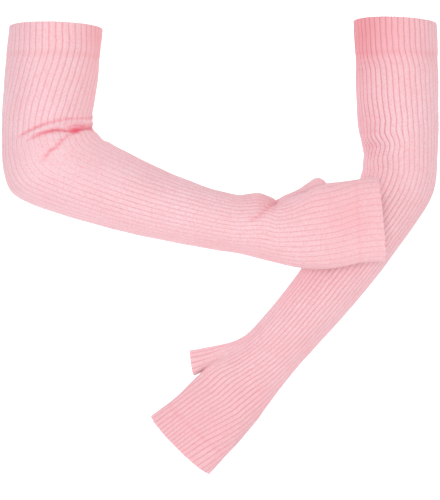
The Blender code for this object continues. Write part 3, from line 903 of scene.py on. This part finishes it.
def stitch_group():
    """Slanted loops of yarn, side by side and row on row."""
    group = bpy.data.node_groups.new("yarn_stitches", "ShaderNodeTree")
    face = group.interface
    face.new_socket("Knit Map", in_out="INPUT", socket_type="NodeSocketVector")
    for name, value in (("Loops per Column", 1.0), ("Loop Height mm", 1.5), ("Slant", .6)):
        socket = face.new_socket(name, in_out="INPUT", socket_type="NodeSocketFloat")
        socket.default_value = value
    for name in ("Height", "Gap", "Line"):
        face.new_socket(name, in_out="OUTPUT", socket_type="NodeSocketFloat")
    given = group.nodes.new("NodeGroupInput").outputs
    out = group.nodes.new("NodeGroupOutput").inputs
    split = group.nodes.new("ShaderNodeSeparateXYZ")
    group.links.new(given["Knit Map"], split.inputs[0])
    across = math_node(group, "FRACT", times(group, split.outputs["X"], given["Loops per Column"]))
    across = times(group, math_node(group, "ABSOLUTE", minus(group, across, .5)), 2.0)
    up = math_node(group, "DIVIDE", split.outputs["Y"], given["Loop Height mm"])
    up = plus(group, up, times(group, across, given["Slant"]))
    up = math_node(group, "SINE", times(group, math_node(group, "FRACT", up), math.pi))
    dome = minus(group, 1.0, math_node(group, "POWER", across, LOOP_SIDES))
    height = times(group, math_node(group, "POWER", up, LOOP_ROUND), dome)
    gap = minus(group, 1.0, height)
    # Painted shade in the groove between two ribs: a narrow line, dotted by the gaps, over a broad faint one.
    beside = math_node(group, "FRACT", times(group, split.outputs["X"], .5))
    beside = times(group, math_node(group, "ABSOLUTE", minus(group, beside, .5)), 2.0)
    narrow = math_node(group, "POWER", math_node(group, "DIVIDE", beside, LINE_NARROW), 2.0)
    narrow = math_node(group, "EXPONENT", times(group, narrow, -1.0))
    dotted = times(group, narrow, plus(group, times(group, gap, DOT_GAP), DOT_BASE))
    broad = times(group, math_node(group, "POWER", minus(group, 1.0, beside), 2.0), LINE_BROAD)
    for name, value in (("Height", height), ("Gap", gap), ("Line", plus(group, dotted, broad))):
        group.links.new(value, out[name])
    return group


stitches = stitch_group()
print("stitch group:", [s.name for s in stitches.interface.items_tree])

# %% [markdown]
# The material starts with the ribs' rose and mixes in three more: a deeper one by the stored
# "deep" mark, which is a dark seam line plus painted shade, a dark one as painted shade in the
# groove between two ribs, and a red one as painted shade in the creases by the "fold" mark. Two
# noises vary the yarn: a broad one for the uneven dye, and a fine one for the fibres, which also
# breaks up the groove shade. The gaps between the loops are a little deeper, as painted shade.
# Sheen gives the soft halo of a brushed yarn.

# %% Yarn material
# rib is the yarn's own rose. groove is a deeper rose for the seams, the dye, the fibres and painted shade.
# line is painted shade in the grooves and fold is painted shade in the creases.
ROSES = {"rib": (.86, .605, .65), "groove": (.81, .34, .37), "line": (.64, .13, .19),
         "fold": (.78, .08, .15)}
LINE_SHARE = .72          # how strong the painted shade in the groove between two ribs is
LINE_BREAK = 1.2          # how much the fibres break it up
DYE_SPREAD = .5           # how much the dye varies
DYE_DEEP = .12            # how deep it is on average
GAP_DEEP = .3             # how much painted shade deepens the gaps between the loops
SPECKLE = 2.0             # how much the fibres vary
FUZZ = .5                 # height of the fibres against the loops


def mix_colour(tree, factor, a, b):
    """A colour mix of two colours, each linked or set, by a linked factor."""
    node = tree.nodes.new("ShaderNodeMix")
    node.data_type = "RGBA"
    sockets = (node.inputs["Factor"], node.inputs[6], node.inputs[7])
    for socket, value in zip(sockets, (factor, a, b)):
        if isinstance(value, tuple):
            socket.default_value = (*value, 1)
        else:
            tree.links.new(value, socket)
    return node.outputs[2]


def yarn_material(name, loop_height):
    """A knitted rose yarn with loops of one height, in millimetres."""
    material = bpy.data.materials.new(name)
    material.use_nodes = True
    tree = material.node_tree
    shade = tree.nodes["Principled BSDF"]
    for socket, value in (("Roughness", .88), ("Specular IOR Level", .25), ("Sheen Weight", .3),
                          ("Sheen Roughness", .45), ("Sheen Tint", (1, .84, .86, 1))):
        shade.inputs[socket].default_value = value

    knit = tree.nodes.new("ShaderNodeUVMap")
    knit.uv_map = "knit"
    loops = tree.nodes.new("ShaderNodeGroup")
    loops.node_tree = stitches
    tree.links.new(knit.outputs[0], loops.inputs["Knit Map"])
    loops.inputs["Loop Height mm"].default_value = loop_height

    marks = {}
    for label in ("deep", "ribbed", "fold"):
        node = tree.nodes.new("ShaderNodeAttribute")
        node.attribute_name = label
        marks[label] = node.outputs["Fac"]
    place = tree.nodes.new("ShaderNodeTexCoord").outputs["Object"]
    noises = {}
    for label, scale, detail in (("dye", 26, 3), ("fibre", 560, 4)):
        noise = tree.nodes.new("ShaderNodeTexNoise")
        noise.inputs["Scale"].default_value = scale
        noise.inputs["Detail"].default_value = detail
        tree.links.new(place, noise.inputs["Vector"])
        noises[label] = noise.outputs["Fac"]

    # The "deep" mark: a dark seam line, with painted shade in spots and on the inner face.
    colour = mix_colour(tree, marks["deep"], ROSES["rib"], ROSES["groove"])
    broken = plus(tree, times(tree, noises["fibre"], LINE_BREAK), .3)
    # Painted shade in the groove between two ribs, broken up by the fibres.
    line = times(tree, times(tree, loops.outputs["Line"], LINE_SHARE), broken)
    colour = mix_colour(tree, times(tree, line, marks["ribbed"]), colour, ROSES["line"])
    dye = plus(tree, times(tree, minus(tree, noises["dye"], .5), DYE_SPREAD), DYE_DEEP)
    colour = mix_colour(tree, dye, colour, ROSES["groove"])
    # The fibres vary the rose at random, and the gaps between the loops get painted shade.
    fibres_and_gap_shade = times(tree, minus(tree, noises["fibre"], .5), SPECKLE)
    fibres_and_gap_shade = plus(tree, times(tree, loops.outputs["Gap"], GAP_DEEP), fibres_and_gap_shade)
    colour = mix_colour(tree, fibres_and_gap_shade, colour, ROSES["groove"])
    # Red painted shade in the creases, by the "fold" mark.
    colour = mix_colour(tree, marks["fold"], colour, ROSES["fold"])
    tree.links.new(colour, shade.inputs["Base Color"])

    relief = plus(tree, loops.outputs["Height"], times(tree, noises["fibre"], FUZZ))
    bump = tree.nodes.new("ShaderNodeBump")
    bump.inputs["Strength"].default_value = .55
    bump.inputs["Distance"].default_value = .00035
    tree.links.new(relief, bump.inputs["Height"])
    tree.links.new(bump.outputs[0], shade.inputs["Normal"])
    return material


yarn = yarn_material("rose_yarn", 1.5)
band_yarn = yarn_material("rose_band_yarn", 1.3)
for name, piece in pieces.items():
    piece.data.materials.append(yarn if name.endswith("sleeve") else band_yarn)
print("yarn on", len(pieces), "pieces")

# %% [markdown]
# ## What stands for what
# Every skin replaces its solid and rides on the one body of the part.

# %% Put the pieces in place of their solids
for name, piece in pieces.items():
    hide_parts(name)
    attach(piece, "root")

# %% [markdown]
# ## Studio
# The product shot is cut out on white and lit softly from all round, most from the front. A pale
# floor that curves up behind, a pale surround, soft square lamps in front, at the left, at the
# right, below and above, and two washes on the backdrop give the same light.

# %% Floor
FLOOR_LEFT, FLOOR_RIGHT, FLOOR_FRONT = -4, 4.4, -3.5   # metres
FLOOR_Z = -.75
CURVE_START = 1.2         # y at which the floor starts to curve up
CURVE = .7                # radius of that curve
CURVE_STEPS = 12
WALL_TOP = 3.2


def pale_floor():
    """A floor that curves up into a wall, made by extruding one edge."""
    bm = bmesh.new()
    ends = [bm.verts.new((x, FLOOR_FRONT, FLOOR_Z)) for x in (FLOOR_LEFT, FLOOR_RIGHT)]
    edge = bm.edges.new(ends)
    profile = [(CURVE_START, FLOOR_Z)]
    for k in range(1, CURVE_STEPS + 1):
        turn = k / CURVE_STEPS * math.pi / 2
        profile.append((CURVE_START + CURVE * math.sin(turn), FLOOR_Z + CURVE * (1 - math.cos(turn))))
    profile.append((CURVE_START + CURVE, WALL_TOP))
    for y, z in profile:
        made = bmesh.ops.extrude_edge_only(bm, edges=[edge])["geom"]
        fresh = [v for v in made if isinstance(v, bmesh.types.BMVert)]
        for vert in fresh:
            vert.co.yz = y, z
        edge = next(e for e in made if isinstance(e, bmesh.types.BMEdge) and all(v in fresh for v in e.verts))
    mesh = bpy.data.meshes.new("pale_floor")
    close_mesh(bm, mesh)
    mesh.polygons.foreach_set("use_smooth", np.ones(len(mesh.polygons), bool))
    paint = bpy.data.materials.new("pale_paint")
    paint.use_nodes = True
    shade = paint.node_tree.nodes["Principled BSDF"]
    shade.inputs["Base Color"].default_value = (.93, .93, .93, 1)
    shade.inputs["Roughness"].default_value = .9
    mesh.materials.append(paint)
    return add_object("pale_floor", mesh)


backdrop = pale_floor()
print("floor and backdrop:", len(backdrop.data.polygons), "faces")

# %% Lamps
MIDDLE = (.164, 0, -.222)   # of the pair, in metres
# name, place, what it points at, size in metres, power in watts and colour
LAMPS = (
    ("front box", (.16, -2.4, -.08), MIDDLE, 1.1, 27, (1, .985, .965)),
    ("left box", (-1.3, -.9, .4), MIDDLE, 1.0, 7.4, (.80, .92, 1)),
    ("right box", (1.6, -.9, .5), MIDDLE, 1.0, 5.8, (.92, .96, 1)),
    ("low fill", (-.05, -1.6, -1.1), MIDDLE, 1.0, 7.4, (1, .95, .90)),
    ("top box", (.25, -.7, 1.3), MIDDLE, 1.0, 4.6, (1, .95, .95)),
    ("backdrop wash left", (-.9, .7, .9), (-.4, 1.9, .1), 1.2, 30, (1, 1, 1)),
    ("backdrop wash right", (1.3, .7, .9), (.8, 1.9, .1), 1.2, 30, (1, 1, 1)),
)


def lamp(name, place, aim, size, power, colour):
    """A square area lamp turned towards a point."""
    light = bpy.data.lights.new(name, "AREA")
    light.shape = "SQUARE"
    light.size = size
    light.energy = power
    light.color = colour
    thing = add_object(name, light)
    thing.location = place
    thing.rotation_euler = (Vector(aim) - Vector(place)).to_track_quat("-Z", "Y").to_euler()


for row in LAMPS:
    lamp(*row)
surround = bpy.data.worlds.new("surround")
surround.use_nodes = True
surround.node_tree.nodes["Background"].inputs["Color"].default_value = (1, .955, .955, 1)
surround.node_tree.nodes["Background"].inputs["Strength"].default_value = .27
bpy.context.scene.world = surround
bpy.context.scene.view_settings.view_transform = "Standard"
print("lamps:", [row[0] for row in LAMPS])

# %% Camera
PHOTO_DISTANCE = 1.45     # the upper openings' front arcs fit a camera this far away
PHOTO_HEIGHT = .500       # metres that the photograph's height covers at the arms
SENSOR = 36               # mm
camera_data = bpy.data.cameras.new("photo_camera")
camera_data.sensor_width = SENSOR
camera_data.lens = SENSOR * PHOTO_DISTANCE / PHOTO_HEIGHT
camera = add_object("photo_camera", camera_data)
camera.location = (MIDDLE[0], -PHOTO_DISTANCE, MIDDLE[2])
camera.rotation_euler = (math.pi / 2, 0, 0)
bpy.context.scene.camera = camera
print("camera looks along +Y from", PHOTO_DISTANCE, "m")

# %% [markdown]
# ## End of the script

# %% Done
print("done")
